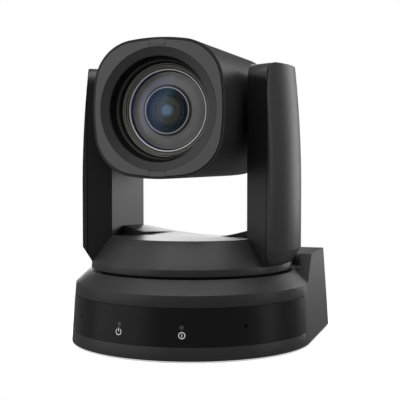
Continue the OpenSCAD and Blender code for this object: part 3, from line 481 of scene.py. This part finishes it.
def ring_materials():
    """The finishes of the lens parts with rings of colour, among them painted highlights and painted
    reflections. Each ring is (outer radius in mm, colour).
    """
    beige, dim_beige, pale = (0.5, 0.48, 0.42), (0.41, 0.39, 0.34), (0.85, 0.83, 0.78)
    brown, grey = (0.14, 0.135, 0.12), (0.1, 0.1, 0.09)
    # the olive colours are painted reflections of coated lenses, and the thin line colour is a painted
    # highlight on edges and ridges
    dark, black, olive_reflection = (0.03, 0.03, 0.027), (0.006, 0.006, 0.006), (0.4, 0.33, 0.17)
    highlight_line, dark_olive_reflection = (0.42, 0.41, 0.37), (0.045, 0.042, 0.025)
    baffle = [(12.5, dark), (13.1, pale), (13.7, dark), (14.6, brown), (15.4, beige), (15.9, dim_beige),
              (19.4, beige), (19.9, dim_beige), (21.6, beige), (26, dark)]
    retainer = [(22.9, pale), (26, grey)]
    # iris: painted highlights as thin lines round the opening and near 8 mm, with painted olive reflections
    # between them
    iris = [(4.45, highlight_line), (8.0, olive_reflection), (8.35, highlight_line), (12.0, dark_olive_reflection), (26, dark)]
    # the thin lines of the cell are painted highlights on its ridges
    cell = [(23.5, black), (23.62, highlight_line), (24.1, black), (24.22, highlight_line), (24.75, black), (24.95, highlight_line),
            (26, black)]
    # the pale inner line and the thin grey ring of the hood are painted highlights on its step edges
    hood = [(25.75, highlight_line), (27.0, black), (27.2, grey), (32, black)]
    return {
        "lens_baffle": banded_plastic("baffle_rings", baffle, 0.5, uneven=0.35),
        "retainer_ring": banded_plastic("retainer_paint", retainer, 0.35),
        "iris_plate": banded_plastic("iris_rings", iris, 0.35),
        "front_cell": banded_plastic("cell_rings", cell, 0.5, specular=0.12),
        "lens_hood": banded_plastic("hood_rings", hood, 0.6, reach=33, specular=0.1),
    }


def own_materials():
    """The finishes of nodes that differ from the rest of their material slot."""
    deep = gloss_plastic("deep_coating", (0.16, 0.42, 0.85), 0.1)
    black = moulded_plastic("black_anodised", (0.008, 0.008, 0.008), 0.55, specular=0.2)
    own = {"zoom_lens": deep, "focus_lens": deep, "turntable": black}
    own.update(ring_materials())
    for name in ("lan_port", "usb_port", "hdmi_port"):
        face_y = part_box(name)[1][1]
        own[name] = lipped_socket(name + "_plating", face_y)
    return own


# ---------- CAD nodes ----------

def dress_nodes():
    """Gives every CAD node its own finish, or else the finish of its material slot."""
    slots, own = slot_materials(), own_materials()
    for row in frame["record"]["subparts"]:
        name = row["node"]
        material = own[name] if name in own else slots[row["material_slot"]]
        finishes = frame["nodes"][name].data.materials
        finishes.clear()
        finishes.append(material)


def soften(obj, width):
    """Rounds the edges of a CAD node's shape with a modifier and leaves its mesh as it is."""
    weld = obj.modifiers.new("weld", "WELD")
    weld.merge_threshold = SAME_POINT
    bevel = obj.modifiers.new("round_edges", "BEVEL")
    bevel.width = width
    bevel.segments = 3
    bevel.limit_method = "ANGLE"
    bevel.angle_limit = math.radians(ROUNDED_ANGLE)
    bevel.harden_normals = True
    bevel.use_clamp_overlap = True


def blend_facets(obj):
    """Shades the flat facets of a CAD node's rounded shape as one surface, with modifiers alone."""
    weld = obj.modifiers.new("weld", "WELD")
    weld.merge_threshold = NEAR_POINT
    group = bpy.data.node_groups.new("blend_facets", "GeometryNodeTree")
    group.interface.new_socket("Geometry", in_out="INPUT", socket_type="NodeSocketGeometry")
    group.interface.new_socket("Geometry", in_out="OUTPUT", socket_type="NodeSocketGeometry")
    start, end = group.nodes.new("NodeGroupInput"), group.nodes.new("NodeGroupOutput")
    faces = group.nodes.new("GeometryNodeSetShadeSmooth")
    edges = group.nodes.new("GeometryNodeSetShadeSmooth")
    edges.domain = "EDGE"
    bend = group.nodes.new("GeometryNodeInputMeshEdgeAngle")
    within = group.nodes.new("FunctionNodeCompare")
    within.operation = "LESS_EQUAL"
    within.inputs["B"].default_value = math.radians(SMOOTH_ANGLE)
    clean = group.nodes.new("GeometryNodeRemoveAttribute")
    clean.inputs["Name"].default_value = "custom_normal"
    group.links.new(start.outputs[0], clean.inputs["Geometry"])
    group.links.new(clean.outputs["Geometry"], faces.inputs["Geometry"])
    group.links.new(faces.outputs["Geometry"], edges.inputs["Geometry"])
    group.links.new(bend.outputs["Unsigned Angle"], within.inputs["A"])
    group.links.new(within.outputs["Result"], edges.inputs["Shade Smooth"])
    group.links.new(edges.outputs["Geometry"], end.inputs[0])
    obj.modifiers.new("blend_facets", "NODES").node_group = group


def soften_nodes(nodes):
    """Rounds the edges of the outer parts, each by its own width in mm."""
    widths = {
        "base_housing": 0.5, "turret_shell": 0.4, "left_arm_cover": 0.45, "right_arm_cover": 0.45,
        "left_arm_inner": 0.35, "right_arm_inner": 0.35, "front_bezel": 0.3, "bezel_tabs": 0.15,
        "rubber_feet": 0.25, "base_plate": 0.2, "rear_panel": 0.2, "power_jack": 0.25, "lan_port": 0.2,
        "usb_port": 0.15, "hdmi_port": 0.15, "sdi_port": 0.25, "control_port": 0.25,
    }
    for name, width in widths.items():
        soften(nodes[name], width * MM)


# ---------- printed marks ----------

def wrap_on_window(angle, u, v, lift):
    """A point u across and v above a mark's middle, laid on the window's drafted wall."""
    height = MARK_Z + v
    radius = WINDOW_R - WINDOW_DRAFT * height + lift
    a = math.radians(angle) + u / radius
    return (radius * math.sin(a) * MM, -radius * math.cos(a) * MM, height * MM)


def add_strip(mesh, angle, pairs, closed):
    """A thin raised print that runs through pairs of edge points."""
    rows = []
    for one, other in pairs:
        corners = ((one, PRINT_LOW), (other, PRINT_LOW), (other, PRINT_HIGH), (one, PRINT_HIGH))
        rows.append([mesh.verts.new(wrap_on_window(angle, *point, lift)) for point, lift in corners])
    count = len(rows)
    for i in range(count if closed else count - 1):
        a, b = rows[i], rows[(i + 1) % count]
        for k in range(4):
            mesh.faces.new((a[k], a[(k + 1) % 4], b[(k + 1) % 4], b[k]))
    if not closed:
        mesh.faces.new(rows[0][::-1])
        mesh.faces.new(rows[-1])


def add_mark(name, angle, opening, bar):
    """A round print with a bar: a ring with a gap at its top, opening degrees wide, and a bar."""
    stroke = 0.12 * MARK_SIZE
    outer = MARK_SIZE / 2
    closed = opening == 0
    steps = 40
    turns = [math.radians(90 + opening / 2 + (360 - opening) * i / steps) for i in range(steps + 1)]
    if closed:
        turns.pop()
    ring = [[(math.cos(t) * r, math.sin(t) * r) for r in (outer - stroke, outer)] for t in turns]
    low, high = bar
    levels = [low + (high - low) * i / 3 for i in range(4)]
    mesh = bmesh.new()
    add_strip(mesh, angle, ring, closed)
    add_strip(mesh, angle, [((-stroke / 2, v), (stroke / 2, v)) for v in levels], False)
    bmesh.ops.recalc_face_normals(mesh, faces=mesh.faces)
    data = bpy.data.meshes.new(name)
    mesh.to_mesh(data)
    mesh.free()
    mark = bpy.data.objects.new(name, data)
    bpy.context.scene.collection.objects.link(mark)
    return mark


def add_marks():
    """Generic standby and power signs printed under the two status lights."""
    ink = moulded_plastic("white_ink", (0.72, 0.72, 0.71), 0.55, grain=0.15)
    led_low, led_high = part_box("status_leds")
    led_angle = math.degrees(math.atan2(led_high[0] - LIGHT_HALF * MM, -led_low[1]))
    marks = [add_mark("standby_mark", -led_angle, 70, (0.1, 2.2)),
             add_mark("power_mark", led_angle, 0, (-0.85, 0.85))]
    for mark in marks:
        mark.data.materials.append(ink)
        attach(mark, "base")


add_camera()
add_studio()
add_floor()
dress_nodes()
soften_nodes(frame["nodes"])
blend_facets(frame["nodes"]["head_rear_cover"])
add_marks()
